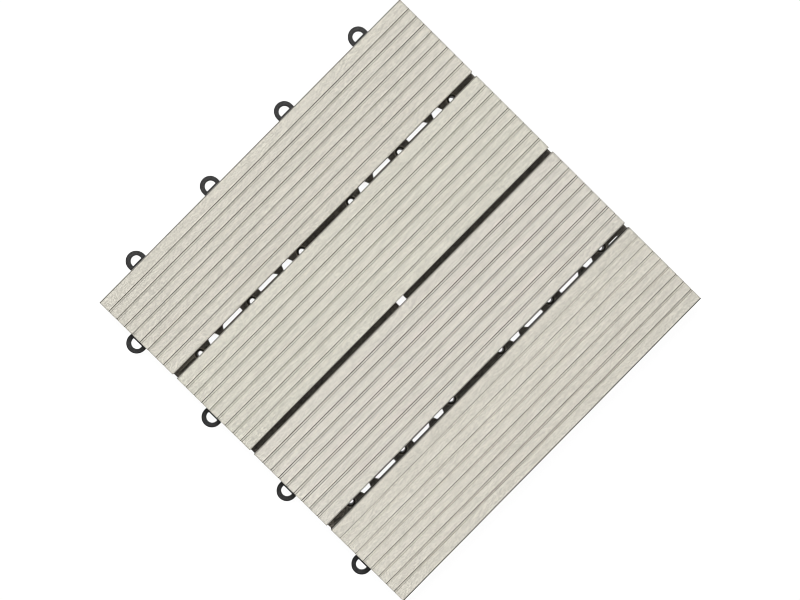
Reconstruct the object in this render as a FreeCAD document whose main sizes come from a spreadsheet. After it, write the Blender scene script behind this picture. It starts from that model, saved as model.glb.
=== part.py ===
import FreeCAD, Part
import math
import os
import Sketcher
from FreeCAD import Vector

# Interlocking deck tile: four grooved composite boards screwed from below to one moulded plastic grid.
# The origin is the middle of the square base on the ground, X runs along the boards, Y across them, Z up.
# The loops stand out on the +Y and -X sides. The pins for a neighbour's loops hang on the -Y and +X sides.

doc = FreeCAD.newDocument("deck_tile")
sheet = doc.addObject("Spreadsheet::Sheet", "sizes")

SIZES = (
    ("tile_side", 300.0, "side of the square base, and length of a board"),
    ("base_high", 11.0, "height of the moulded base, where the boards lie"),
    ("plate_thick", 2.2, "thickness of the base's top plate"),
    ("rim_thick", 2.0, "wall round the base"),
    ("rib_thick", 1.6, "ribs under the plate"),
    ("corner_round", 2.5, "radius of the base's four corners"),
    ("border_wide", 19.0, "solid border of the plate, from the edge inwards"),
    ("spine_half", 20.2, "half the width of the solid cross in the middle"),
    ("beam_mid", 74.7, "middle line of each beam of the lattice"),
    ("beam_wide", 7.4, "clear width of a beam between its two ribs"),
    ("boss_inner", 25.0, "boss beside the solid cross, from the middle"),
    ("boss_outer", 23.0, "boss beside the border, from the tile's edge"),
    ("boss_radius", 5.0, "round boss"),
    ("boss_bore", 2.2, "radius of the hole through a boss"),
    ("boss_seat", 3.9, "radius of the recess for a screw's head"),
    ("seat_depth", 5.0, "depth of that recess, from the ground"),
    ("ledge", 0.3, "plate left standing inside a beam's ribs round its holes"),
    ("centre_bar", 1.0, "bar between a beam's two long slots"),
    ("slot_near", 9.3, "long slot: its near end, from the middle boss"),
    ("slot_inner", 26.5, "long slot towards the cross: its far end, from the middle boss"),
    ("slot_outer", 28.5, "long slot towards the border: its far end, from the middle boss"),
    ("slot_slant", 2.1, "how far a slot's far end slants"),
    ("eye_inner", 36.0, "six-sided eye towards the cross, from the middle boss"),
    ("eye_outer", 38.0, "six-sided eye towards the border, from the middle boss"),
    ("eye_wide", 9.0, "width of an eye at its middle"),
    ("eye_narrow", 6.2, "width of an eye at its two ends"),
    ("drain_long", 7.2, "drain slot in the very middle, along X"),
    ("drain_wide", 4.6, "drain slot in the very middle, along Y"),
    ("slit_start", 9.0, "narrow slit in the border, from the tile's edge"),
    ("slit_long", 9.0, "its length"),
    ("slit_wide", 1.4, "its width"),
    ("loop_count", 4, "loops on a side, and pins on a side"),
    ("loop_outer", 7.4, "outer radius of a loop's round end"),
    ("loop_wall", 3.2, "width of a loop's band"),
    ("loop_centre", 3.8, "centre of the round end, out from the tile's edge"),
    ("loop_thick", 4.0, "height of a loop, from the ground"),
    ("loop_root", 2.7, "bar that closes a loop along the rim, outwards"),
    ("tile_joint", 3.0, "space left between two joined tiles"),
    ("notch_play", 0.85, "side clearance of a loop in a neighbour's notch"),
    ("notch_high", 5.0, "height of the notch that a neighbour's loop enters"),
    ("pin_radius", 2.2, "pin that drops into a neighbour's loop"),
    ("pin_lift", 0.6, "clearance of the pin's tip from the ground"),
    ("board_count", 4, "boards on a tile"),
    ("board_gap", 4.0, "gap between boards"),
    ("board_thick", 11.0, "thickness of a board"),
    ("board_round", 1.3, "radius along a board's two top edges"),
    ("board_bevel", 0.6, "bevel along a board's two lower edges"),
    ("groove_count", 8, "grooves on a board"),
    ("groove_pitch", 7.65, "spacing of the grooves"),
    ("groove_mouth", 2.1, "width of a groove at the top"),
    ("groove_floor", 1.3, "width of a groove at its floor"),
    ("groove_deep", 1.1, "depth of a groove"),
    ("relief_count", 5, "shallow channels under a board"),
    ("relief_pitch", 14.4, "spacing of those channels"),
    ("relief_wide", 6.0, "width of a channel"),
    ("relief_deep", 0.8, "depth of a channel"),
    ("screw_radius", 1.8, "screw shank"),
    ("screw_reach", 8.0, "how far the screw goes into the board"),
    ("pilot_play", 0.05, "radial clearance of the shank in its pilot hole"),
    ("pilot_spare", 0.8, "pilot hole past the screw's end"),
    ("head_radius", 3.5, "pan head"),
    ("head_high", 2.4, "height of the pan head"),
)

for row, (alias, number, note) in enumerate(SIZES, start=1):
    sheet.set(f"A{row}", note)
    sheet.set(f"B{row}", str(number))
    sheet.setAlias(f"B{row}", alias)
doc.recompute()

# Sizes that follow from the driving ones, each written once as a formula of the sheet's cells.
HALF = "(sizes.tile_side / 2)"
BOARD_WIDE = "((sizes.tile_side - (sizes.board_count - 1) * sizes.board_gap) / sizes.board_count)"
LOOP_PITCH = "(sizes.tile_side / sizes.loop_count)"
FIRST_LOOP = f"({HALF} - {LOOP_PITCH} / 2)"
PLATE_LOW = "(sizes.base_high - sizes.plate_thick)"
NOTCH_HALF = "(sizes.loop_outer + sizes.notch_play)"
LOOP_INNER = "(sizes.loop_outer - sizes.loop_wall)"
# The pin stands in the middle of the clear length that a neighbour's loop leaves between its bar and its end.
PIN_MID = f"({HALF} + sizes.tile_joint - (sizes.loop_root + sizes.loop_centre + {LOOP_INNER}) / 2)"
# A socket ends past the reach of the neighbour's loop.
SOCKET_END = f"({HALF} + sizes.tile_joint - sizes.loop_centre - sizes.loop_outer - sizes.notch_play)"
GROOVE_FIRST = "((sizes.groove_count - 1) * sizes.groove_pitch / 2)"
RELIEF_FIRST = "((sizes.relief_count - 1) * sizes.relief_pitch / 2)"


def value(formula):
    """The number that a formula of the sheet's cells gives."""
    return float(sheet.evalExpression(formula))


def cell(alias):
    return value(f"sizes.{alias}")


# Lattice lines for one quarter of the base, from the middle outwards: each pair is the clear span between ribs.
half = value(HALF)
rib = cell("rib_thick")
beam_low = cell("beam_mid") - cell("beam_wide") / 2
beam_high = cell("beam_mid") + cell("beam_wide") / 2
border_start = half - cell("border_wide")
SPINE = (rib / 2, cell("spine_half"))
INNER = (cell("spine_half") + rib, beam_low - rib)
BEAM = (beam_low, beam_high)
OUTER = (beam_high + rib, border_start)
BORDER = (border_start + rib, half - cell("rim_thick"))

boss_inner = cell("boss_inner")
boss_outer = half - cell("boss_outer")
beam_mid = cell("beam_mid")
inner_cross = sum(INNER) / 2
outer_cross = sum(OUTER) / 2

# The beams under the gaps between boards have bosses that show from above.
BEAM_BOSSES = ((boss_inner, beam_mid), (beam_mid, beam_mid), (boss_outer, beam_mid))
# Each board has one screw near each end, through the boss where two diagonal braces cross.
SCREW_BOSSES = tuple((outer_cross, y) for y in (inner_cross, outer_cross))
SIGNS = ((1, 1), (-1, 1), (-1, -1), (1, -1))
WINDOWS = tuple((x, y) for x in (INNER, OUTER) for y in (INNER, OUTER))


def add_body(name):
    body = doc.addObject("PartDesign::Body", name)
    body.Label = name
    return body


def add_sketch(body, name, plane, lift="0"):
    """A sketch on one of the body's own planes, lifted along the plane's normal by a formula."""
    sketch = body.newObject("Sketcher::SketchObject", name)
    support = next(part for part in body.Origin.OriginFeatures if part.Role == plane)
    sketch.AttachmentSupport = [(support, "")]
    sketch.MapMode = "FlatFace"
    if lift != "0":
        sketch.setExpression("AttachmentOffset.Base.z", lift)
    return sketch


def add_feature(body, kind, name, sketch, length=None, reverse=False, through=False, both_ways=False):
    """Pad or Pocket of a sketch. The length is a formula, and a through cut has none."""
    feature = body.newObject(f"PartDesign::{kind}", name)
    feature.Profile = sketch
    if through:
        feature.Type = "ThroughAll"
    if length:
        feature.setExpression("Length", length)
    if both_ways:
        feature.SideType = "Symmetric"
    feature.Reversed = reverse
    doc.recompute()
    body.Tip = feature
    return feature


def add_pattern(body, name, originals, axis, count, length):
    """Equal copies of features along one of the body's own axes, over a length given by a formula."""
    pattern = body.newObject("PartDesign::LinearPattern", name)
    pattern.Originals = originals
    line = next(part for part in body.Origin.OriginFeatures if part.Role == axis)
    pattern.Direction = (line, [""])
    pattern.setExpression("Length", length)
    pattern.setExpression("Occurrences", count)
    doc.recompute()
    body.Tip = pattern
    return pattern


def dimension(sketch, kind, *references):
    """A dimension of the sketch, driven by the formula that comes last."""
    *points, formula = references
    index = sketch.addConstraint(Sketcher.Constraint(kind, *points, value(formula)))
    sketch.setExpression(f"Constraints[{index}]", formula)


def closed_lines(sketch, corners):
    """Straight sides through the corners, joined end to start. Gives the first side's number."""
    first = sketch.GeometryCount
    ends = corners[1:] + corners[:1]
    sides = [Part.LineSegment(Vector(*a, 0), Vector(*b, 0)) for a, b in zip(corners, ends)]
    sketch.addGeometry(sides, False)
    count = len(corners)
    joins = [Sketcher.Constraint("Coincident", first + i, 2, first + (i + 1) % count, 1) for i in range(count)]
    sketch.addConstraint(joins)
    return first


def square_up(sketch, first):
    """Keeps a four-sided loop's sides level and upright, starting with a level one."""
    for side in (first, first + 2):
        sketch.addConstraint(Sketcher.Constraint("Horizontal", side))
    for side in (first + 1, first + 3):
        sketch.addConstraint(Sketcher.Constraint("Vertical", side))


def outline_of(corners):
    """Straight lines round a polygon, end to start."""
    ends = corners[1:] + corners[:1]
    return [Part.LineSegment(Vector(*a, 0), Vector(*b, 0)) for a, b in zip(corners, ends)]


def box_corners(x_span, y_span):
    return [(x_span[0], y_span[0]), (x_span[1], y_span[0]), (x_span[1], y_span[1]), (x_span[0], y_span[1])]


def mirrored(corners, sign_x, sign_y):
    """The same corners in another quarter, still listed against the clock."""
    moved = [(x * sign_x, y * sign_y) for x, y in corners]
    return moved if sign_x * sign_y > 0 else moved[::-1]


def swapped(corners):
    """The same corners with X and Y exchanged, still listed against the clock."""
    return [(y, x) for x, y in reversed(corners)]


def circles(places, radius):
    return [Part.Circle(Vector(x, y, 0), Vector(0, 0, 1), radius) for x, y in places]


def all_quarters(places):
    return [(x * sign_x, y * sign_y) for sign_x, sign_y in SIGNS for x, y in places]


def brace_windows(x_span, y_span):
    """The four three-cornered windows that two crossing diagonal ribs leave in a rectangle."""
    (x0, x1), (y0, y1) = x_span, y_span
    wide, high = x1 - x0, y1 - y0
    slope = math.hypot(wide, high) * rib / 2
    along_x, along_y = slope / high, slope / wide
    mid_x, mid_y = (x0 + x1) / 2, (y0 + y1) / 2
    return [
        [(x0 + along_x, y0), (x1 - along_x, y0), (mid_x, mid_y - along_y)],
        [(x1, y0 + along_y), (x1, y1 - along_y), (mid_x + along_x, mid_y)],
        [(x1 - along_x, y1), (x0 + along_x, y1), (mid_x, mid_y + along_y)],
        [(x0, y1 - along_y), (x0, y0 + along_y), (mid_x - along_x, mid_y)],
    ]


def beam_holes():
    """Holes through one beam in a quarter: two six-sided eyes and two pairs of long slots."""
    holes = []
    edge = cell("beam_wide") / 2 - cell("ledge")
    wide, narrow = cell("eye_wide") / 2, cell("eye_narrow") / 2
    for middle in (beam_mid - cell("eye_inner"), beam_mid + cell("eye_outer")):
        holes.append([(middle + wide, beam_mid), (middle + narrow, beam_mid + edge),
                      (middle - narrow, beam_mid + edge), (middle - wide, beam_mid),
                      (middle - narrow, beam_mid - edge), (middle + narrow, beam_mid - edge)])
    bar = cell("centre_bar") / 2
    for side, far in ((-1, cell("slot_inner")), (1, cell("slot_outer"))):
        near_x = beam_mid + side * cell("slot_near")
        far_x = beam_mid + side * far
        slant_x = far_x - side * cell("slot_slant")
        for up in (1, -1):
            corners = [(near_x, beam_mid + up * bar), (far_x, beam_mid + up * bar),
                       (slant_x, beam_mid + up * edge), (near_x, beam_mid + up * edge)]
            holes.append(corners if side * up > 0 else corners[::-1])
    return holes


def make_blank():
    """The block that becomes the grid, with its loops, and with its sockets for a neighbour's loops."""
    body = add_body("base_blank")
    outline = add_sketch(body, "base_outline", "XY_Plane")
    first = closed_lines(outline, box_corners((-half, half), (-half, half)))
    square_up(outline, first)
    outline.addConstraint(Sketcher.Constraint("Symmetric", first, 1, first + 2, 1, -1, 1))
    outline.addConstraint(Sketcher.Constraint("Equal", first, first + 1))
    dimension(outline, "DistanceX", first, 1, first, 2, "sizes.tile_side")
    block = add_feature(body, "Pad", "base_block", outline, "sizes.base_high")

    upright = [f"Edge{i}" for i, edge in enumerate(block.Shape.Edges, start=1)
               if abs(edge.Vertexes[0].Z - edge.Vertexes[1].Z) > cell("base_high") / 2]
    corners = body.newObject("PartDesign::Fillet", "base_corners")
    corners.Base = (block, upright)
    corners.setExpression("Radius", "sizes.corner_round")
    doc.recompute()
    body.Tip = corners

    add_loops(body, "loops_back", along_x=True)
    add_loops(body, "loops_left", along_x=False)
    add_sockets(body, "sockets_front", along_x=True)
    add_sockets(body, "sockets_right", along_x=False)
    doc.recompute()
    return body


def turned(x, y, along_x):
    """A place given along and out from a side. Loops go on +Y or on -X, and sockets on -Y or on +X."""
    return (x, y) if along_x else (-y, x)


def add_loops(body, name, along_x):
    """One loop at the end of a side, as a flat D-shaped ring on the ground, and its copies."""
    start = -value(FIRST_LOOP)
    centre = half + cell("loop_centre")
    sketch = add_sketch(body, f"{name}_outline", "XY_Plane")
    shape = []
    for radius, foot in ((cell("loop_outer"), half - cell("rim_thick") / 2),
                         (value(LOOP_INNER), half + cell("loop_root"))):
        points = [(start - radius, centre), (start, centre + radius), (start + radius, centre),
                  (start + radius, foot), (start - radius, foot)]
        left, crown, right, right_foot, left_foot = (Vector(*turned(x, y, along_x), 0) for x, y in points)
        shape += [Part.Arc(left, crown, right), Part.LineSegment(right, right_foot),
                  Part.LineSegment(right_foot, left_foot), Part.LineSegment(left_foot, left)]
    sketch.addGeometry(shape, False)
    loop = add_feature(body, "Pad", name, sketch, "sizes.loop_thick")
    add_row(body, name, [loop], along_x)


def add_row(body, name, originals, along_x):
    axis = "X_Axis" if along_x else "Y_Axis"
    add_pattern(body, f"{name}_row", originals, axis, "sizes.loop_count", f"{FIRST_LOOP} * 2")


def socket_corners(along_x, near, far, middle, inset=0.0):
    """Corners of a rectangle behind the rim, from near to far from the tile's middle, round one socket."""
    reach = value(NOTCH_HALF) - inset
    corners = [turned(x, -y, along_x) for x, y in box_corners((middle - reach, middle + reach), (near, far))]
    return corners[::-1]


def add_sockets(body, name, along_x):
    """A socket cut from below that leaves its pin standing, a recess over it from above, and their copies."""
    start = -value(FIRST_LOOP)
    place = turned(start, -value(PIN_MID), along_x)
    socket = add_sketch(body, f"{name}_outline", "XY_Plane")
    closed_lines(socket, socket_corners(along_x, value(SOCKET_END), half + cell("tile_joint"), start))
    socket.addGeometry(circles([place], cell("pin_radius")), False)
    hollow = add_feature(body, "Pocket", name, socket, "sizes.notch_high", reverse=True)

    # The recess leaves a wall on three sides, which joins the socket's roof to the plate. The rim is the fourth.
    above = add_sketch(body, f"{name}_top_outline", "XY_Plane", "sizes.base_high")
    near, far = value(SOCKET_END) + rib, half - cell("rim_thick")
    closed_lines(above, socket_corners(along_x, near, far, start, inset=rib))
    recess = add_feature(body, "Pocket", f"{name}_top", above,
                         "sizes.base_high - sizes.notch_high - sizes.plate_thick")

    lift = add_sketch(body, f"{name}_lift_outline", "XY_Plane")
    lift.addGeometry(circles([place], cell("pin_radius") + cell("notch_play")), False)
    short = add_feature(body, "Pocket", f"{name}_lift", lift, "sizes.pin_lift", reverse=True)
    add_row(body, name, [hollow, recess, short], along_x)


def prism(outline, low, high):
    """A closed outline of lines and arcs, carried straight up from one height to another."""
    wire = Part.Wire([piece.toShape() for piece in outline])
    return Part.Face(wire).translated(Vector(0, 0, low)).extrude(Vector(0, 0, high - low))


def cylinders(places, radius, low, high):
    return [Part.makeCylinder(radius, high - low, Vector(x, y, low)) for x, y in places]


def core_cells():
    """Cells cored out from below in every quarter. What stays between them is the rim and the ribs."""
    spans = (SPINE, INNER, BEAM, OUTER, BORDER)
    cells = [(x, y) for x in spans for y in spans if (x, y) not in WINDOWS]
    outlines = [outline_of(mirrored(box_corners(x, y), *signs)) for x, y in cells for signs in SIGNS]
    cores = Part.makeCompound([prism(outline, 0, value(PLATE_LOW)) for outline in outlines])
    kept = []
    for along_x in (True, False):
        for i in range(int(cell("loop_count"))):
            middle = -value(FIRST_LOOP) + i * value(LOOP_PITCH)
            corners = socket_corners(along_x, value(SOCKET_END), half, middle)
            kept.append(prism(outline_of(corners), 0, cell("base_high")))
    return cores.cut(kept)


def window_cores():
    """The three-cornered windows between the braces, from the ground right through."""
    outlines = []
    for x_span, y_span in WINDOWS:
        for window in brace_windows(x_span, y_span):
            outlines += [outline_of(mirrored(window, *signs)) for signs in SIGNS]
    return Part.makeCompound([prism(outline, 0, cell("base_high")) for outline in outlines])


def plate_holes():
    """Holes through the plate over the cored cells: the beams' eyes and slots, and one slit in the border."""
    outlines = []
    for hole in beam_holes():
        for corners in (hole, swapped(hole)):
            outlines += [outline_of(mirrored(corners, *signs)) for signs in SIGNS]
    slit_end = half - cell("slit_start")
    slit_low = beam_mid + cell("beam_wide") / 2 - cell("slit_wide")
    slit = box_corners((slit_end - cell("slit_long"), slit_end), (slit_low, slit_low + cell("slit_wide")))
    outlines.append(outline_of(mirrored(slit, 1, -1)))
    return [prism(outline, value(PLATE_LOW), cell("base_high")) for outline in outlines]


def drain_slot():
    """The slot in the very middle, through the plate and the ribs that cross under it."""
    reach_x, reach_y = cell("drain_long") / 2, cell("drain_wide") / 2
    return prism(outline_of(box_corners((-reach_x, reach_x), (-reach_y, reach_y))), 0, cell("base_high"))


def make_base():
    """The moulded grid: the blank cored out from below and pierced, with its screw bosses left standing."""
    top = cell("base_high")
    bosses = all_quarters(BEAM_BOSSES + SCREW_BOSSES)
    standing = cylinders(bosses, cell("boss_radius"), 0, top)
    cells = core_cells().cut(standing)
    windows = window_cores().cut(standing)
    shape = make_blank().Shape.copy()
    shape = shape.cut(cells.Solids + windows.Solids)
    shape = shape.cut(plate_holes() + [drain_slot()])
    bores = cylinders(bosses, cell("boss_bore"), 0, top)
    seats = cylinders(screw_places(), cell("boss_seat"), 0, cell("seat_depth"))
    shape = shape.cut(bores + seats)

    grid = doc.addObject("Part::Feature", "base_grid")
    grid.Label = "base_grid"
    grid.Shape = shape.Solids[0]
    return grid


def make_board(number):
    """One extruded board: a rectangle with eased edges, grooved on top and relieved below."""
    body = add_body(f"board_{number}")
    section = add_sketch(body, f"section_{number}", "YZ_Plane")
    wide, thick = value(BOARD_WIDE), cell("board_thick")
    first = closed_lines(section, box_corners((-wide / 2, wide / 2), (0, thick)))
    square_up(section, first)
    section.addConstraint(Sketcher.Constraint("Symmetric", first, 1, first, 2, -1, 1))
    dimension(section, "DistanceX", first, 1, first, 2, BOARD_WIDE)
    dimension(section, "DistanceY", first + 1, 1, first + 1, 2, "sizes.board_thick")
    blank = add_feature(body, "Pad", f"blank_{number}", section, "sizes.tile_side", both_ways=True)

    ease_edges(body, blank, "Fillet", f"top_edges_{number}", True, "Radius", "sizes.board_round")
    ease_edges(body, body.Tip, "Chamfer", f"lower_edges_{number}", False, "Size", "sizes.board_bevel")

    groove = add_sketch(body, f"groove_section_{number}", "YZ_Plane")
    start = -value(GROOVE_FIRST)
    mouth, floor, deep = cell("groove_mouth") / 2, cell("groove_floor") / 2, cell("groove_deep")
    first = closed_lines(groove, [(start - floor, thick - deep), (start + floor, thick - deep),
                                  (start + mouth, thick), (start - mouth, thick)])
    add_groove_dimensions(groove, first)
    cut = add_feature(body, "Pocket", f"groove_{number}", groove, through=True, both_ways=True)
    add_pattern(body, f"grooves_{number}", [cut], "Y_Axis", "sizes.groove_count", f"{GROOVE_FIRST} * 2")

    relief = add_sketch(body, f"relief_section_{number}", "YZ_Plane")
    start = -value(RELIEF_FIRST)
    reach = cell("relief_wide") / 2
    first = closed_lines(relief, box_corners((start - reach, start + reach), (0, cell("relief_deep"))))
    square_up(relief, first)
    relief.addConstraint(Sketcher.Constraint("PointOnObject", first, 1, -1))
    dimension(relief, "DistanceX", first, 1, first, 2, "sizes.relief_wide")
    dimension(relief, "DistanceY", first + 1, 1, first + 1, 2, "sizes.relief_deep")
    dimension(relief, "DistanceX", first, 2, -1, 1, f"{RELIEF_FIRST} - sizes.relief_wide / 2")
    cut = add_feature(body, "Pocket", f"relief_{number}", relief, through=True, both_ways=True)
    add_pattern(body, f"reliefs_{number}", [cut], "Y_Axis", "sizes.relief_count", f"{RELIEF_FIRST} * 2")

    # Board 1 lies at the loops' side, +Y. Its pilot holes stand over the bosses of its own screws.
    middle = f"{HALF} - {BOARD_WIDE} / 2 - {number - 1} * ({BOARD_WIDE} + sizes.board_gap)"
    centre = value(middle)
    pilots = add_sketch(body, f"pilot_outlines_{number}", "XY_Plane")
    holes = [(x, y - centre) for x, y in screw_places() if abs(y - centre) < wide / 2]
    pilots.addGeometry(circles(holes, cell("screw_radius") + cell("pilot_play")), False)
    add_feature(body, "Pocket", f"pilots_{number}", pilots, "sizes.screw_reach + sizes.pilot_spare", reverse=True)

    body.setExpression("Placement.Base.y", middle)
    body.setExpression("Placement.Base.z", "sizes.base_high")
    doc.recompute()
    return body


def ease_edges(body, base, kind, name, above, size_name, formula):
    """Rounds or bevels the board's two long edges above its mid-height, or the two below."""
    edges = []
    for i, edge in enumerate(base.Shape.Edges, start=1):
        box = edge.BoundBox
        if box.XLength > cell("tile_side") / 2 and (box.Center.z > cell("board_thick") / 2) == above:
            edges.append(f"Edge{i}")
    feature = body.newObject(f"PartDesign::{kind}", name)
    feature.Base = (base, edges)
    feature.setExpression(size_name, formula)
    doc.recompute()
    body.Tip = feature


def add_groove_dimensions(sketch, first):
    """Floor, mouth, depth and place of the first groove, measured from the board's middle and its top."""
    for side in (first, first + 2):
        sketch.addConstraint(Sketcher.Constraint("Horizontal", side))
    sketch.addConstraint(Sketcher.Constraint("Equal", first + 1, first + 3))
    dimension(sketch, "DistanceX", first, 1, first, 2, "sizes.groove_floor")
    dimension(sketch, "DistanceX", first + 2, 2, first + 2, 1, "sizes.groove_mouth")
    dimension(sketch, "DistanceY", first + 1, 1, first + 1, 2, "sizes.groove_deep")
    dimension(sketch, "DistanceY", -1, 1, first + 2, 1, "sizes.board_thick")
    dimension(sketch, "DistanceX", first + 2, 1, -1, 1, f"{GROOVE_FIRST} - sizes.groove_mouth / 2")


def screw_places():
    return all_quarters(SCREW_BOSSES)


def make_screw():
    """One screw, end up, with the upper side of its pan head at zero height where it bears on the boss."""
    body = add_body("screw_blank")
    section = add_sketch(body, "screw_section", "XZ_Plane")
    shank, head, high = (cell(name) for name in ("screw_radius", "head_radius", "head_high"))
    end = cell("base_high") - cell("seat_depth") + cell("screw_reach")
    closed_lines(section, [(0, end), (0, -high), (head, -high), (head, 0), (shank, 0), (shank, end)])
    turning = body.newObject("PartDesign::Revolution", "screw_turned")
    turning.Profile = section
    turning.ReferenceAxis = (section, ["V_Axis"])
    turning.Angle = 360
    body.Tip = turning
    doc.recompute()
    return body


def make_screws():
    """All the screws of the tile, each in its boss, as one group of separate solids."""
    blank = make_screw()
    group = doc.addObject("Part::Feature", "board_screws")
    group.Label = "board_screws"
    copies = []
    for x, y in screw_places():
        copy = blank.Shape.copy()
        copy.translate(Vector(x, y, cell("seat_depth")))
        copies.append(copy)
    group.Shape = Part.makeCompound(copies)
    return group


def check_document():
    """Stops if any object failed, because a recompute reports that only in the object's state."""
    doc.recompute()
    for item in doc.Objects:
        if "Invalid" in item.State or "Error" in item.State:
            raise RuntimeError(f"{item.Name} did not build: {item.State}")


def check_shape(node):
    shape = node.Shape
    if shape.isNull() or not shape.isValid():
        raise RuntimeError(f"{node.Label} has no valid shape")
    print(node.Label, "solids", len(shape.Solids), "volume", round(shape.Volume), "faces", len(shape.Faces))


nodes = [make_base()]
nodes += [make_board(number) for number in range(1, int(cell("board_count")) + 1)]
nodes.append(make_screws())

check_document()
os.makedirs("parts", exist_ok=True)
for node in nodes:
    check_shape(node)
for node in nodes:
    node.Shape.exportStep(f"parts/{node.Label}.step")
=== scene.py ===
# %% [markdown]
# # A snap-together deck tile, dressed in Blender
# The real tile is four grooved boards of wood-plastic composite, screwed from below to one black plastic grid.
# Rows of such tiles click together on a balcony floor: pins on two sides press down into loops on the next tile.
# The grid, the boards and the screws already exist as exact solids. This lesson gives them their surfaces,
# remakes the boards with softened grooves and the screws with threads, and lights the tile from above as in a
# catalogue picture.

# %% Load the solids
import math

import bpy
import numpy as np
from mathutils import Matrix, Vector


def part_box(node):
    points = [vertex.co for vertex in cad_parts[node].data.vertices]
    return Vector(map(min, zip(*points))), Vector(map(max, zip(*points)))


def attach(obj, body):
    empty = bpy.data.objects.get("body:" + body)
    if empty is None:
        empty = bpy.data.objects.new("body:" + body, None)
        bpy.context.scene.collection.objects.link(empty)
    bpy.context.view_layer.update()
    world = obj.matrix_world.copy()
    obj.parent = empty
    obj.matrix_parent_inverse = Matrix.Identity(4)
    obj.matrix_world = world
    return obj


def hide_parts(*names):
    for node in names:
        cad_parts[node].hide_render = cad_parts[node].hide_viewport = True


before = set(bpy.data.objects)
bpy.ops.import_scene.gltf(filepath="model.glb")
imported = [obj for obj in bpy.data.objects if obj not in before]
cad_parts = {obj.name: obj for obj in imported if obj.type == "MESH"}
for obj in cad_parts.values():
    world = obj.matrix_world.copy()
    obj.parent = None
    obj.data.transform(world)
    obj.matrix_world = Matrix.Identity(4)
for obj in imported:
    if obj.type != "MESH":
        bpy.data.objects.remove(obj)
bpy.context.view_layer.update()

# %% [markdown]
# ## Real sizes
# Lengths are written in millimetres, as on a drawing, and one constant turns them to metres.
# What the solids already know, such as where a board starts and ends, is read from them and not typed again.
# The back of the tile is its +Y side, and the front its -Y side.

# %% Sizes
MM = 0.001
BOARD_NODES = [f"board_{number}" for number in range(1, 5)]
BOARD_MIDDLES = [(low.y + high.y) / 2 for low, high in map(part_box, BOARD_NODES)]
board_low, board_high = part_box("board_1")
BOARD_TOP = board_high.z
BOARD_BOTTOM = board_low.z
BOARD_END = board_high.x
BOARD_WIDE = board_high.y - board_low.y

GROOVE_COUNT = 8
GROOVE_PITCH = 7.65 * MM
GROOVE_MOUTH = 1.9 * MM
BACK_WALL = 0.45 * MM
FRONT_WALL = 0.25 * MM
GROOVE_DEEP = 1.1 * MM
EDGE_ROUND = 1.3 * MM
LOWER_BEVEL = 0.6 * MM
RELIEF_COUNT = 5
RELIEF_PITCH = 14.4 * MM
RELIEF_WIDE = 6.0 * MM
RELIEF_DEEP = 0.8 * MM
RELIEF_WALL = 0.15 * MM
print(f"a board is {BOARD_WIDE / MM:.1f} mm wide and {(BOARD_TOP - BOARD_BOTTOM) / MM:.1f} mm thick")

# %% [markdown]
# ## Small helpers
# Colours are picked as sRGB hex codes, the way a screen shows them, but Blender's shaders count in linear light.
# The next helpers add one node with its settings and its inputs, so that a material reads as a short recipe.
# The others build on them: simple sums, noise with a real grain size, and one chance value per grain.

# %% Colour and node helpers
def linear(code):
    """sRGB hex code to linear RGBA: the low end is a straight line, the rest a 2.4 power."""
    parts = [int(code[i:i + 2], 16) / 255 for i in (1, 3, 5)]
    return tuple(p / 12.92 if p <= 0.04045 else ((p + 0.055) / 1.055) ** 2.4 for p in parts) + (1.0,)


def set_inputs(tree, node, inputs):
    """Gives each input socket a plain value, or links it to another node's output socket."""
    for socket, source in inputs.items():
        if isinstance(source, bpy.types.NodeSocket):
            tree.links.new(source, node.inputs[socket])
        else:
            node.inputs[socket].default_value = source


def add_node(tree, kind, inputs=None, **settings):
    """Adds one node with its settings and its inputs."""
    node = tree.nodes.new(kind)
    for name, setting in settings.items():
        setattr(node, name, setting)
    set_inputs(tree, node, inputs or {})
    return node


def new_material(name):
    """An empty material with its tree, its surface shader and its Object coordinates, which are metres here."""
    material = bpy.data.materials.new(name)
    material.use_nodes = True
    tree = material.node_tree
    place = add_node(tree, "ShaderNodeTexCoord").outputs["Object"]
    return material, tree, tree.nodes["Principled BSDF"], place


def plain_colour(tree, code):
    """The colour of a hex code, as an output socket."""
    node = add_node(tree, "ShaderNodeRGB")
    node.outputs["Color"].default_value = linear(code)
    return node.outputs["Color"]


def shade(tree, colour, factor):
    """A colour times a grey factor."""
    return add_node(tree, "ShaderNodeVectorMath", {0: colour, "Scale": factor}, operation="SCALE").outputs["Vector"]


def split(tree, vector):
    """The X, Y and Z of a vector, as three output sockets."""
    return add_node(tree, "ShaderNodeSeparateXYZ", {"Vector": vector}).outputs[:]


def arithmetic(tree, operation, *values):
    """One sum on plain numbers or output sockets."""
    return add_node(tree, "ShaderNodeMath", dict(enumerate(values)), operation=operation).outputs["Value"]


def product(tree, first, *others):
    """All the values multiplied together."""
    for other in others:
        first = arithmetic(tree, "MULTIPLY", first, other)
    return first


def distance(tree, value, target):
    """The difference between a value and a target, without its sign."""
    return arithmetic(tree, "ABSOLUTE", arithmetic(tree, "SUBTRACT", value, target))


def blend(tree, factor, one, other):
    """One value where the factor is 0, the other where it is 1, and a mixture between."""
    return add_node(tree, "ShaderNodeMix", {"Factor": factor, "A": one, "B": other}).outputs["Result"]


# Spans: all of a value from 0 to 1, and the middle part that a smooth noise seldom leaves.
WHOLE = (0.0, 1.0)
NOISE_MIDDLE = (0.3, 0.7)
# Tones of a mask, which is 1 where something applies and 0 elsewhere.
RISE = (0.0, 1.0)
FALL = (1.0, 0.0)


def spread(tree, source, tones, span=NOISE_MIDDLE):
    """The first tone where the source is at the start of its span, the second at the end, and a line between."""
    node = add_node(tree, "ShaderNodeMapRange", {"Value": source, "From Min": span[0], "From Max": span[1],
                                                 "To Min": tones[0], "To Max": tones[1]})
    return node.outputs["Result"]


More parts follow.
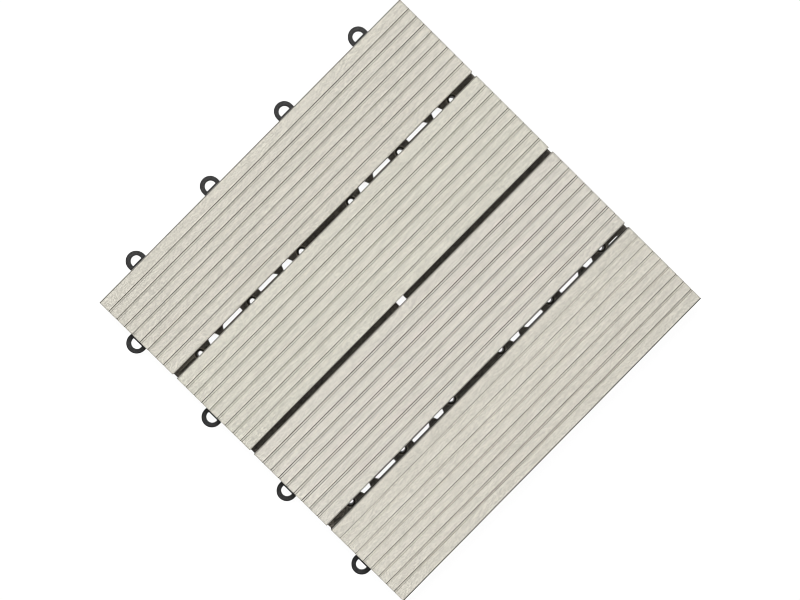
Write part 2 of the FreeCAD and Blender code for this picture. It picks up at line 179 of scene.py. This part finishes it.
def stretched(tree, place, size_mm):
    """Coordinates divided by a real size along X, Y and Z, so that a pattern's grains get that size."""
    scale = [1 / (size * MM) for size in size_mm]
    return add_node(tree, "ShaderNodeMapping", {"Vector": place, "Scale": scale}).outputs["Vector"]


def stretched_noise(tree, place, size_mm, detail=2.0, roughness=0.5):
    """Smooth noise whose grains have the given real size."""
    noise = add_node(tree, "ShaderNodeTexNoise", {"Vector": stretched(tree, place, size_mm), "Scale": 1.0,
                                                  "Detail": detail, "Roughness": roughness})
    return noise.outputs["Fac"]


def grains(tree, place, size_mm):
    """One chance value from 0 to 1 for each grain: the cells of a Voronoi pattern, stretched like the noise."""
    cells = add_node(tree, "ShaderNodeTexVoronoi", {"Vector": stretched(tree, place, size_mm), "Scale": 1.0})
    return split(tree, cells.outputs["Color"])[0]


print("helpers ready; board grey in linear light:", [round(c, 3) for c in linear("#D6D2C6")])

# %% [markdown]
# ## Mesh helpers
# Every remade piece is a mesh from arrays: points in rings, and quads from each ring to the next.

# %% Mesh helpers
def smooth_step(t):
    """0 below 0, 1 above 1, and the cubic 3t^2 - 2t^3 between."""
    t = np.clip(t, 0, 1)
    return t * t * (3 - 2 * t)


def ring_faces(rings, around):
    """Quads between each ring and the next, closed round, and a flat face on the first and the last ring."""
    ring, point = np.meshgrid(np.arange(rings - 1), np.arange(around), indexing="ij")
    here, beside = ring * around + point, ring * around + (point + 1) % around
    quads = np.stack([here, beside, beside + around, here + around], axis=-1).reshape(-1, 4)
    return quads.tolist() + [list(range(around))[::-1], list(range((rings - 1) * around, rings * around))]


def add_mesh_object(name, points, faces):
    """A new object in the scene from points and faces."""
    mesh = bpy.data.meshes.new(name)
    mesh.from_pydata(points, [], faces)
    mesh.update()
    made = bpy.data.objects.new(name, mesh)
    bpy.context.scene.collection.objects.link(made)
    return made


def dress(piece, material, sharp_degrees):
    """Gives a piece its material, and smooth shading that stops at edges sharper than the angle."""
    piece.data.materials.append(material)
    piece.data.shade_smooth()
    piece.data.set_sharp_from_angle(angle=math.radians(sharp_degrees))


print("faces of a tube of 3 rings, 4 around:", len(ring_faces(3, 4)))

# %% [markdown]
# ## Composite boards
# Wood-plastic composite is wood flour in polyethylene, pushed hot through a die like toothpaste.
# The die leaves a smooth, slightly darker surface. A wire brush then roughens the top lands along the board,
# which makes them paler and matt with fine streaks, while the grooves and rounded edges keep the darker surface.
# On top of that, the grooves, the edges beside the gaps and the sides that face into a gap are painted with shade.
# The shade goes by depth below the top face, by place across the board and by the way each surface faces. The
# streaks are noise stretched along X, and each grain of wood flour is one cell with a tone of its own.
#
# A tone is a factor on the colour. A pair of tones runs from the first to the second over a span, which is a
# stretch of height, of distance, or of how far the surface faces back or up. Grain sizes are millimetres.

# %% Sizes and tones of the composite
STREAK_SIZE = (22, 0.8, 0.8)
STREAK_TONES = (0.93, 1.06)
FLOUR_SIZE = (0.75, 0.55, 0.55)
FLOUR_TONES = (0.74, 1.24)
DRIFT_SIZE = (120, 30, 30)
DRIFT_TONES = (0.985, 1.012)
FLECK_SIZE = (1.0, 0.9, 0.5)
FLECK_TONES = (0.72, 1.05)
FLECK_SPAN = (0.38, 0.62)
END_SHADE_TONES = (1.0, 0.74)
END_SHADE_SPAN = (BOARD_END - 1.2 * MM, BOARD_END - 0.2 * MM)
SAWN_SPAN = (BOARD_END - 0.02 * MM, BOARD_END)

FLOOR_SPAN = (BOARD_TOP - 0.3 * MM, BOARD_TOP - 0.05 * MM)
SIDE_TOP_SPAN = (BOARD_TOP - 1.5 * MM, BOARD_TOP - EDGE_ROUND)
WALL_SPAN = (-0.2, 0.2)
LAND_SPAN = (0.3, 0.95)
BACK_SIDE_SPAN = (0.7, 0.9)
SIDE_TONE = 0.70
EDGE_START = BOARD_WIDE / 2 - EDGE_ROUND
EDGE_BLEND = 0.1 * MM
EDGE_LIT = 0.25 * MM
EDGE_FADE = 0.3 * MM
BRUSH_BUMP = 0.9 * MM
PLASTIC_IOR = 1.49
# Per board: its colour, then its tones. The groove wall tones and the bottom tone are painted shade, and a tone above
# 1 is painted light. The edge tones beside the gaps and the back side tone are painted shade. The edges also keep the
# die's darker surface, and the far end tone darkens towards +X.
BOARD_TONES = (
    ("#D6D2C6", {"shaded back wall": 0.36, "shaded front wall": 0.34, "floor": 0.92, "painted back edge": 0.34, "painted front edge": 1.05,
                 "shaded back side": 0.70, "far end": 0.995}),
    ("#D7D4C7", {"shaded back wall": 0.38, "shaded front wall": 0.39, "floor": 0.93, "painted back edge": 0.45, "painted front edge": 1.00,
                 "shaded back side": 0.70, "far end": 0.981}),
    ("#D9D5CA", {"shaded back wall": 0.06, "shaded front wall": 0.20, "floor": 1.05, "painted back edge": 0.55, "painted front edge": 0.62,
                 "shaded back side": 0.45, "far end": 0.950}),
    ("#D7D3C7", {"shaded back wall": 0.02, "shaded front wall": 0.88, "floor": 0.96, "painted back edge": 0.50, "painted front edge": 0.20,
                 "shaded back side": 0.15, "far end": 0.940}),
)
print("boards with tones of their own:", len(BOARD_TONES))


# %% Composite material
def composite(name, middle_y, body_code, kept):
    """Brushed wood-plastic composite. kept says how much of the colour each part of the board keeps."""
    material, tree, shader, place = new_material(name)
    x, y, z = split(tree, place)
    _, facing_back, facing_up = split(tree, add_node(tree, "ShaderNodeNewGeometry").outputs["Normal"])

    # Painted shade in the grooves: each wall gets a tone of its own, mostly darker on the back wall, which faces away
    # from the lamp. Everything deeper than 0.3 mm gets the bottom tone, which is painted shade, but painted light on
    # the third board. The lands keep the full colour.
    wall = spread(tree, facing_back, (kept["shaded back wall"], kept["shaded front wall"]), WALL_SPAN)
    brushed = blend(tree, spread(tree, facing_up, RISE, LAND_SPAN), wall, 1.0)
    floor = spread(tree, z, (kept["floor"], 1.0), FLOOR_SPAN)

    # The long rounded edges keep the die's darker surface, and beside the gaps their tones are also painted shade. The
    # plain sides are one even tone, but on the third and fourth boards a side that faces back, into a gap, is darker
    # with painted shade.
    dark = EDGE_START + EDGE_LIT
    back = spread(tree, y, (1.0, kept["painted back edge"]), (middle_y + dark, middle_y + dark + EDGE_FADE))
    front = spread(tree, y, (kept["painted front edge"], 1.0), (middle_y - dark - EDGE_FADE, middle_y - dark))
    at_edge = spread(tree, distance(tree, y, middle_y), RISE, (EDGE_START - EDGE_BLEND, EDGE_START))
    top = blend(tree, at_edge, product(tree, brushed, floor), product(tree, back, front))
    side = spread(tree, facing_back, (SIDE_TONE, kept["shaded back side"]), BACK_SIDE_SPAN)
    skin_and_shade = blend(tree, spread(tree, z, RISE, SIDE_TOP_SPAN), side, top)

    # Brush streaks and wood flour are drawn a little larger than life, so that they show. The mix is never quite
    # even, so the tone drifts over a hand's width. Each board is also a little darker towards its +X end.
    streaks = spread(tree, stretched_noise(tree, place, STREAK_SIZE, 3.0, 0.7), STREAK_TONES)
    flour = spread(tree, grains(tree, place, FLOUR_SIZE), FLOUR_TONES, WHOLE)
    drift = spread(tree, stretched_noise(tree, place, DRIFT_SIZE, 1.0), DRIFT_TONES)
    along = spread(tree, x, (1.0, kept["far end"]), (-BOARD_END, BOARD_END))

    # A band within about a millimetre of both ends, the end faces included, is darker: painted shade along the arris.
    # The saw's cut shows the flour as darker flecks.
    end = arithmetic(tree, "ABSOLUTE", x)
    end_shade = spread(tree, end, END_SHADE_TONES, END_SHADE_SPAN)
    fleck = spread(tree, stretched_noise(tree, place, FLECK_SIZE, 4.0, 0.75), FLECK_TONES, FLECK_SPAN)
    fleck = blend(tree, spread(tree, end, RISE, SAWN_SPAN), 1.0, fleck)
    factor = product(tree, streaks, flour, drift, along, skin_and_shade, end_shade, fleck)

    # Brushing scratches the lands a few hundredths of a millimetre deep: half the distance times the streaks.
    bump = add_node(tree, "ShaderNodeBump", {"Height": streaks, "Strength": 0.5, "Distance": BRUSH_BUMP})
    set_inputs(tree, shader, {"Base Color": shade(tree, plain_colour(tree, body_code), factor),
                              "Normal": bump.outputs["Normal"],
                              "Roughness": 0.82, "IOR": PLASTIC_IOR, "Specular IOR Level": 0.25})
    return material


composites = [composite(f"brushed wood-plastic composite of {node}", middle_y, body_code, kept)
              for node, middle_y, (body_code, kept) in zip(BOARD_NODES, BOARD_MIDDLES, BOARD_TONES)]
print("composite materials:", [material.name for material in composites])

# %% [markdown]
# ## Moulded grid
# The grid is black polypropylene shot into a steel mould. The mould was spark-eroded, so the plastic has a fine
# matt grain, and its edges are a little rounded. Each boss was moulded inside a shallow round moat. The moats are
# drawn here as a dip in the bump, with painted shade inside and a painted highlight on the outer rim, from the
# distance to each boss. Brown dust from sawing the boards lies on the top of the grid, in specks, and shows in
# the gaps. Near the -X end, two thin lines in the first gap are painted highlights.

# %% Sizes and tones of the grid
GRID_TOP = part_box("base_grid")[1].z
GRID_BLACK = "#242424"
EROSION_SIZE = (0.5, 0.5, 0.5)
EROSION_BUMP = 0.4 * MM
MOULDED_ROUND = 0.9 * MM
FLOW_SIZE = (25, 25, 12)
FLOW_TONES = (0.85, 1.15)
SPECK_SIZE = (0.9, 0.8, 0.8)
SPECK_TONES = (0.35, 1.65)
DUST_GAIN = (5.7, 5.0, 4.0)
DUST_SPAN = (GRID_TOP - 0.5 * MM, GRID_TOP - 0.1 * MM)
PLASTIC_ROUGH = (0.42, 0.58)
PLASTIC_SHINE = (0.33, 0.05)

BOSS_PLACES = ((25.0 * MM, 74.7 * MM), (74.7 * MM, 74.7 * MM), (127.0 * MM, 74.7 * MM))
MOAT_MIDDLE = 3.1 * MM
MOAT_HALF = 0.55 * MM
# The moat's darker ring is painted shade, and the brighter ring about it is a painted highlight.
MOAT_SHADE_TONES = (1.0, 0.3)
RIM_HALF = 0.45 * MM
RIM_HIGHLIGHT_TONES = (1.0, 2.4)
RING_CORE = 0.6
FAR_AWAY = 1.0

MARKED_END = (-132.0 * MM, -130.0 * MM)
OFF_EDGE = (-147.5 * MM, -146.0 * MM)
# Two thin lighter lines in the first gap near the -X end are painted highlights, as where the edges of a slit catch
# light.
HIGHLIGHT_LINES = (76.35 * MM, 77.2 * MM)
HIGHLIGHT_HALF = (0.05 * MM, 0.25 * MM)
HIGHLIGHT_TONES = (1.0, 3.6)
THIRD_GAP_FRONT = (-80.0 * MM, -79.0 * MM)
THIRD_GAP_BACK = (-73.0 * MM, -72.0 * MM)
DUST_TONES = (1.0, 2.6)
print(f"grid top at {GRID_TOP / MM:.1f} mm, bosses in each quarter: {len(BOSS_PLACES)}")


# %% Polypropylene material
def boss_rings(tree, place):
    """Two masks from the distance to the nearest boss: the round moat about it, for painted shade, and the moat's
    outer rim, for a painted highlight.
    """
    folded = add_node(tree, "ShaderNodeVectorMath", {0: place}, operation="ABSOLUTE").outputs["Vector"]
    flat = add_node(tree, "ShaderNodeVectorMath", {0: folded, 1: (1, 1, 0)}, operation="MULTIPLY").outputs["Vector"]
    nearest = FAR_AWAY
    for x, y in BOSS_PLACES:
        here = add_node(tree, "ShaderNodeVectorMath", {0: flat, 1: (x, y, 0)}, operation="DISTANCE").outputs["Value"]
        nearest = arithmetic(tree, "MINIMUM", nearest, here)
    rings = ((MOAT_MIDDLE, MOAT_HALF), (MOAT_MIDDLE + MOAT_HALF + RIM_HALF, RIM_HALF))
    return [spread(tree, distance(tree, nearest, radius), FALL, (half * RING_CORE, half)) for radius, half in rings]


def end_highlights_and_dust(tree, x, y, specks):
    """A brightening factor for two marks at the -X end: two painted highlights in the first gap, and dust in the
    third.
    """
    near_end = spread(tree, x, FALL, MARKED_END)
    slit_highlights = 0.0
    for line in HIGHLIGHT_LINES:
        slit_highlights = arithmetic(tree, "MAXIMUM", slit_highlights, spread(tree, distance(tree, y, line), FALL, HIGHLIGHT_HALF))
    slit_highlights = product(tree, slit_highlights, near_end, spread(tree, x, RISE, OFF_EDGE))
    third_gap = product(tree, spread(tree, y, RISE, THIRD_GAP_FRONT), spread(tree, y, FALL, THIRD_GAP_BACK))
    dust = product(tree, specks, near_end, third_gap)
    return product(tree, spread(tree, slit_highlights, HIGHLIGHT_TONES, WHOLE),
                   spread(tree, dust, DUST_TONES, (0.0, SPECK_TONES[1])))


def polypropylene():
    """Black plastic: grain in the bump, flow marks, sunk moats with painted shade and a painted highlight on their
    rims, painted highlights at the -X end, and dust that gains on the top face.
    """
    material, tree, shader, place = new_material("moulded black polypropylene")
    x, y, z = split(tree, place)
    grain = stretched_noise(tree, place, EROSION_SIZE, 3.0, 0.6)
    flow = spread(tree, stretched_noise(tree, place, FLOW_SIZE), FLOW_TONES)
    specks = spread(tree, grains(tree, place, SPECK_SIZE), SPECK_TONES, WHOLE)
    moat, rim = boss_rings(tree, place)
    # Painted shade in the moats, and painted highlights on their rims and at the -X end, on top of flow marks, specks
    # and dust.
    factor = product(tree, flow, specks, spread(tree, moat, MOAT_SHADE_TONES, WHOLE), spread(tree, rim, RIM_HIGHLIGHT_TONES, WHOLE),
                     end_highlights_and_dust(tree, x, y, specks))

    # Dust multiplies the black most in red and least in blue: one plus the gain on the top face, one below it.
    gain = add_node(tree, "ShaderNodeVectorMath", {0: spread(tree, z, RISE, DUST_SPAN), 1: DUST_GAIN, 2: (1, 1, 1)},
                    operation="MULTIPLY_ADD").outputs["Vector"]
    dusty = add_node(tree, "ShaderNodeVectorMath", {0: plain_colour(tree, GRID_BLACK), 1: gain},
                     operation="MULTIPLY").outputs["Vector"]

    rounded = add_node(tree, "ShaderNodeBevel", {"Radius": MOULDED_ROUND}, samples=6).outputs["Normal"]
    height = arithmetic(tree, "SUBTRACT", grain, moat)
    bump = add_node(tree, "ShaderNodeBump", {"Height": height, "Normal": rounded,
                                             "Strength": 0.35, "Distance": EROSION_BUMP})
    set_inputs(tree, shader, {"Base Color": shade(tree, dusty, factor), "Normal": bump.outputs["Normal"],
                              "Roughness": spread(tree, grain, PLASTIC_ROUGH), "IOR": PLASTIC_IOR})
    # The open face's shine is also the socket's own number, for a model file that can't take a varied one.
    set_inputs(tree, shader, {"Specular IOR Level": PLASTIC_SHINE[0]})
    # Inside the moats the shine drops as well: painted shade.
    set_inputs(tree, shader, {"Specular IOR Level": spread(tree, moat, PLASTIC_SHINE, WHOLE)})
    return material


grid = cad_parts["base_grid"]
grid.data.materials.clear()
grid.data.materials.append(polypropylene())
print("grid:", len(grid.data.polygons), "faces,", grid.data.materials[0].name)

# %% [markdown]
# ## Screws
# The screws are case-hardened steel with a thin zinc plating. Plating from a barrel is bright but not polished:
# a metal with middling roughness, and faint cloudy patches from the tumbling.

# %% Zinc material
ZINC_GREY = "#BFC0C2"
CLOUD_SIZE = (1.2, 1.2, 1.2)
CLOUD_TONES = (0.86, 1.04)
CLOUD_ROUGH = (0.28, 0.45)


def zinc():
    """A metal with a cloudy tone, duller where it is paler."""
    material, tree, shader, place = new_material("barrel-plated zinc on steel")
    cloud = stretched_noise(tree, place, CLOUD_SIZE, 3.0, 0.6)
    colour = shade(tree, plain_colour(tree, ZINC_GREY), spread(tree, cloud, CLOUD_TONES))
    set_inputs(tree, shader, {"Base Color": colour, "Roughness": spread(tree, cloud, CLOUD_ROUGH), "Metallic": 1.0})
    return material


zinc_plate = zinc()
print("screws:", zinc_plate.name)

# %% [markdown]
# ## Shape of a screw
# A chipboard screw is cold-headed wire: a pan head with a cross pressed into it, then a thread rolled round the
# shank and a cut point. All of it is one radius that changes with height and angle, plus a dip for the cross.
# The solid screws are plain pegs, so these stand for them, no wider and no longer.

# %% Screw
SCREW_PLACES = [(x * MM, y * MM) for x in (-105.5, 105.5) for y in (-105.5, -45.6, 45.6, 105.5)]
SEAT_LEVEL = 5.0 * MM
SCREW_LOW, SCREW_HIGH = (corner.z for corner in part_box("board_screws"))
HEAD_RADIUS = 3.5 * MM
HEAD_FLAT = 2.3 * MM
THREAD_RADIUS = 1.8 * MM
CORE_RADIUS = 1.25 * MM
THREAD_PITCH = 1.4 * MM
RIDGE_HALF = 0.3
POINT_LONG = 2.4 * MM
POINT_BLUNT = 0.1
CROSS_REACH = 1.7 * MM
CROSS_HALF = 0.45 * MM
CROSS_DEEP = 1.2 * MM
CROSS_SLOPE = 0.1 * MM
FIRST_RING = 0.02 * MM
FLAT_RINGS = 16
BEND_RINGS = 6
TURN_RINGS = 7
AROUND = 36


def cross_depth(x, y):
    """Depth of the cross recess: full inside either arm, with walls that slope over a tenth of a millimetre."""
    arms = [smooth_step((CROSS_REACH - np.abs(a)) / CROSS_SLOPE) * smooth_step((CROSS_HALF - np.abs(b)) / CROSS_SLOPE)
            for a, b in ((x, y), (y, x))]
    return CROSS_DEEP * np.maximum(*arms)


def screw_grid():
    """Rings of points from the middle of the head's face, round the head, along the thread, to the point."""
    angle = np.linspace(0, 2 * np.pi, AROUND, endpoint=False)
    flat = np.linspace(FIRST_RING, HEAD_FLAT, FLAT_RINGS)
    bend = np.linspace(0, np.pi / 2, BEND_RINGS + 1)[1:]
    rim = HEAD_RADIUS - HEAD_FLAT
    head_radius = np.concatenate([flat, HEAD_FLAT + rim * np.sin(bend), [HEAD_RADIUS]])
    head_z = np.concatenate([np.full(FLAT_RINGS, SCREW_LOW), SCREW_LOW + rim * (1 - np.cos(bend)), [SEAT_LEVEL]])
    thread_z = np.arange(SEAT_LEVEL, SCREW_HIGH, THREAD_PITCH / TURN_RINGS)
    z = np.concatenate([head_z, thread_z, [SCREW_HIGH]])[:, None] + np.zeros(AROUND)

    phase = (z / THREAD_PITCH - angle / (2 * np.pi)) % 1
    ridge = np.clip(1 - np.abs(phase - 0.5) / RIDGE_HALF, 0, 1)
    taper = np.clip((SCREW_HIGH - z) / POINT_LONG, POINT_BLUNT, 1)
    radius = taper * (CORE_RADIUS + (THREAD_RADIUS - CORE_RADIUS) * ridge)
    radius[:len(head_radius)] = head_radius[:, None]
    x, y = radius * np.cos(angle), radius * np.sin(angle)
    z[:FLAT_RINGS] += cross_depth(x[:FLAT_RINGS], y[:FLAT_RINGS])
    return np.stack([x, y, z], axis=-1)


one_screw = screw_grid()
rings = len(one_screw)
points, faces = [], []
for x, y in SCREW_PLACES:
    faces += [[corner + len(points) * rings * AROUND for corner in face] for face in ring_faces(rings, AROUND)]
    points.append(one_screw.reshape(-1, 3) + (x, y, 0))
screws = add_mesh_object("pan_head_screws", np.concatenate(points), faces)
dress(screws, zinc_plate, sharp_degrees=40)
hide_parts("board_screws")
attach(screws, "root")
print("screws:", len(SCREW_PLACES), "of", rings * AROUND, "points each")

# %% [markdown]
# ## Boards as swept profiles
# An extruded board is one outline carried along a straight line, so its mesh is the same thing in numbers.
# The top is a height over the width: flat, less one smooth dip for each groove. The brush wears each board a
# little differently, so each groove of each board gets its own depth. The solid boards stay as they are and
# are only hidden: the new ones stand for them and never reach outside them.

# %% Outline of a board
WALL_POINTS = 6
ROUND_POINTS = 8
DECIMALS = 7


def dips(y, middles, depths, mouth, front_wall, back_wall):
    """Sum of flat-bottomed dips: each is its depth times a smooth step over the width of the wall on that side."""
    off = y[:, None] - middles[None, :]
    wall = np.where(off < 0, front_wall, back_wall)
    return (depths[None, :] * smooth_step((mouth / 2 - np.abs(off)) / wall)).sum(axis=1)


def dense_across(middles, mouth, front_wall, back_wall, left, right):
    """Places across the board: both ends, plus a cluster on each wall of each dip."""
    steps = np.linspace(0, 1, WALL_POINTS)
    offsets = np.concatenate([-mouth / 2 + steps * front_wall, mouth / 2 - steps * back_wall])
    inside = (middles[:, None] + offsets[None, :]).ravel()
    return np.unique(np.round(np.concatenate([[left, right], inside]), DECIMALS))


def evenly(count, pitch):
    """Places at an even pitch about the middle."""
    return (np.arange(count) - (count - 1) / 2) * pitch


def board_outline(depths, shift=0.0, mouth=GROOVE_MOUTH):
    """Points (y, z) round a board's section, from the top's left end, against the clock seen from -X."""
    half, thick = BOARD_WIDE / 2, BOARD_TOP - BOARD_BOTTOM
    grooves = evenly(GROOVE_COUNT, GROOVE_PITCH) + shift
    groove = (mouth, FRONT_WALL, BACK_WALL)
    top_y = dense_across(grooves, *groove, -EDGE_START, EDGE_START)
    top_z = thick - dips(top_y, grooves, depths, *groove)

    turn = np.linspace(0, np.pi / 2, ROUND_POINTS + 1)[1:]
    right_y = EDGE_START + EDGE_ROUND * np.sin(turn)
    right_z = thick - EDGE_ROUND + EDGE_ROUND * np.cos(turn)

    reliefs = evenly(RELIEF_COUNT, RELIEF_PITCH)
    relief = (RELIEF_WIDE, RELIEF_WALL, RELIEF_WALL)
    low_y = dense_across(reliefs, *relief, LOWER_BEVEL - half, half - LOWER_BEVEL)[::-1]
    low_z = dips(low_y, reliefs, np.full(RELIEF_COUNT, RELIEF_DEEP), *relief)

    y = np.concatenate([top_y, right_y, [half], low_y, [-half], -right_y[::-1]])
    z = np.concatenate([top_z, right_z, [LOWER_BEVEL], low_z, [LOWER_BEVEL], right_z[::-1]])
    return y, z


print("points in the outline:", len(board_outline(np.full(GROOVE_COUNT, GROOVE_DEEP))[0]))

# %% [markdown]
# The groove depths below come from looking at the picture: the third board's grooves are the sharpest, and on
# the fourth they are narrower and fade from its outer edge towards the middle of the tile. A board is cut from a
# wider strip, so its whole set of grooves can also lie up to half a millimetre off its middle.

# %% Sweep the outlines
STATIONS = 25
GROOVE_WEAR = (
    np.full(GROOVE_COUNT, 0.86),
    np.full(GROOVE_COUNT, 0.84),
    np.full(GROOVE_COUNT, 1.1),
    np.linspace(1.2, 0.45, GROOVE_COUNT),
)
GROOVE_SHIFT = (-0.5 * MM, -0.4 * MM, 0.0, -0.08 * MM)
GROOVE_MOUTHS = (GROOVE_MOUTH, GROOVE_MOUTH, GROOVE_MOUTH, 1.7 * MM)


def sweep_board(name, middle_y, outline):
    """Grid of (station along X) by (point of the outline), closed round the outline, with a flat face on each end."""
    y, z = outline
    points = np.empty((STATIONS, len(y), 3))
    points[..., 0] = np.linspace(-BOARD_END, BOARD_END, STATIONS)[:, None]
    points[..., 1] = y + middle_y
    points[..., 2] = z + BOARD_BOTTOM
    return add_mesh_object(name, points.reshape(-1, 3), ring_faces(STATIONS, len(y)))


for index, node in enumerate(BOARD_NODES):
    outline = board_outline(GROOVE_DEEP * GROOVE_WEAR[index], GROOVE_SHIFT[index], GROOVE_MOUTHS[index])
    board = sweep_board(f"composite_{node}", BOARD_MIDDLES[index], outline)
    dress(board, composites[index], sharp_degrees=35)
    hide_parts(node)
    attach(board, "root")
    print(board.name, len(board.data.polygons), "faces")

# %% [markdown]
# ## Floor and light
# The tile lies on a plain white table under a wide, soft light, a little stronger from the back right (+X, +Y).
# The camera sees the table as white, with only a trace of the tile's shadow left in it. Shiny parts mirror a
# studio that is dark on the -X side and bright on the +X side, which gives black plastic its shape.

# %% Floor
WHITE = (1, 1, 1, 1)
TABLE_PAINT = "#E6E6E4"
SHADOW_GREY = (0.07, 0.07, 0.07, 1)
TABLE_GLOW = 0.955
TABLE_REACH = 6.0
TABLE_LEVEL = -0.02 * MM


def seen_by(tree, *rays):
    """1 for the named kinds of ray and 0 for others, so that a surface can look one way and light another."""
    path = add_node(tree, "ShaderNodeLightPath")
    seen = 0.0
    for ray in rays:
        seen = arithmetic(tree, "MAXIMUM", seen, path.outputs[ray])
    return seen


def empty_tree(owner):
    """The node tree of a material or a world, with nothing in it."""
    owner.use_nodes = True
    owner.node_tree.nodes.clear()
    return owner.node_tree


def table_material():
    """White for the camera and for mirrors, but with the object's own soft shadow kept in it."""
    material = bpy.data.materials.new("white table paint")
    tree = empty_tree(material)
    paint = add_node(tree, "ShaderNodeBsdfDiffuse", {"Color": linear(TABLE_PAINT)})
    faint = add_node(tree, "ShaderNodeBsdfDiffuse", {"Color": SHADOW_GREY})
    glow = add_node(tree, "ShaderNodeEmission", {"Color": WHITE, "Strength": TABLE_GLOW})
    shown = add_node(tree, "ShaderNodeAddShader", {0: faint.outputs["BSDF"], 1: glow.outputs["Emission"]})
    seen = seen_by(tree, "Is Camera Ray", "Is Glossy Ray")
    mix = add_node(tree, "ShaderNodeMixShader", {0: seen, 1: paint.outputs["BSDF"], 2: shown.outputs["Shader"]})
    add_node(tree, "ShaderNodeOutputMaterial", {"Surface": mix.outputs["Shader"]})
    return material


corners = [(x * TABLE_REACH, y * TABLE_REACH, TABLE_LEVEL) for x, y in ((-1, -1), (1, -1), (1, 1), (-1, 1))]
table = add_mesh_object("table", corners, [(0, 1, 2, 3)])
table.data.materials.append(table_material())
print("table", TABLE_REACH * 2, "m square")

# %% World and lamp
SOFT_LIGHT = 0.52
STUDIO_TONES = (0.0, 2.0)
STUDIO_SPAN = (-0.2, 0.3)
SUN_FROM = Vector((0.35, 0.75, 1.55))
SUN_STRENGTH = 1.75
SUN_DEGREES = 24

world = bpy.data.worlds.new("studio")
bpy.context.scene.world = world
world_tree = empty_tree(world)
sideways = split(world_tree, add_node(world_tree, "ShaderNodeTexCoord").outputs["Generated"])[0]
mirrored = spread(world_tree, sideways, STUDIO_TONES, STUDIO_SPAN)
strength = blend(world_tree, seen_by(world_tree, "Is Glossy Ray"), 1.0, mirrored)
soft = add_node(world_tree, "ShaderNodeBackground", {"Color": WHITE, "Strength": SOFT_LIGHT})
shown = add_node(world_tree, "ShaderNodeBackground", {"Color": WHITE, "Strength": strength})
seen = seen_by(world_tree, "Is Camera Ray", "Is Glossy Ray", "Is Transmission Ray")
mix = add_node(world_tree, "ShaderNodeMixShader", {0: seen, 1: soft.outputs["Background"],
                                                   2: shown.outputs["Background"]})
add_node(world_tree, "ShaderNodeOutputWorld", {"Surface": mix.outputs["Shader"]})

sun_data = bpy.data.lights.new("key_light", "SUN")
sun_data.energy = SUN_STRENGTH
sun_data.angle = math.radians(SUN_DEGREES)
sun = bpy.data.objects.new("key_light", sun_data)
bpy.context.scene.collection.objects.link(sun)
sun.rotation_euler = SUN_FROM.to_track_quat("Z", "Y").to_euler()
print("key light", round(math.degrees(SUN_FROM.angle(Vector((0, 0, 1))))), "degrees off the vertical")

# %% [markdown]
# ## Camera
# The picture looks almost straight down on the tile, turned an eighth so that the square stands on a corner.
# Its lens is long: the far edges are hardly smaller than the near ones. Place, aim and focal length were found
# by matching the edges of the boards. A narrow pixel filter keeps the fine grain crisp.

# %% Camera
CAMERA_PLACE = (-21.15 * MM, 31.58 * MM, 1322.0 * MM)
CAMERA_RIGHT = Vector((0.70222, -0.71142, 0.02783))
CAMERA_FORWARD = Vector((0.01586, -0.02345, -0.99960))
LENS = 83.06
FILTER_WIDTH = 0.9

camera_data = bpy.data.cameras.new("camera")
camera_data.lens = LENS
camera_data.sensor_width = 36
camera_data.clip_start = 0.05
camera_data.clip_end = 50
camera = bpy.data.objects.new("camera", camera_data)
bpy.context.scene.collection.objects.link(camera)
back = -CAMERA_FORWARD.normalized()
right = (CAMERA_RIGHT - CAMERA_RIGHT.project(back)).normalized()
up = back.cross(right)
turn = Matrix((right, up, back)).transposed().to_4x4()
camera.matrix_world = Matrix.Translation(CAMERA_PLACE) @ turn
bpy.context.scene.camera = camera
bpy.context.scene.view_settings.view_transform = "Standard"
bpy.context.scene.cycles.filter_width = FILTER_WIDTH
print("camera at", [round(c, 3) for c in camera.location], "lens", camera_data.lens)
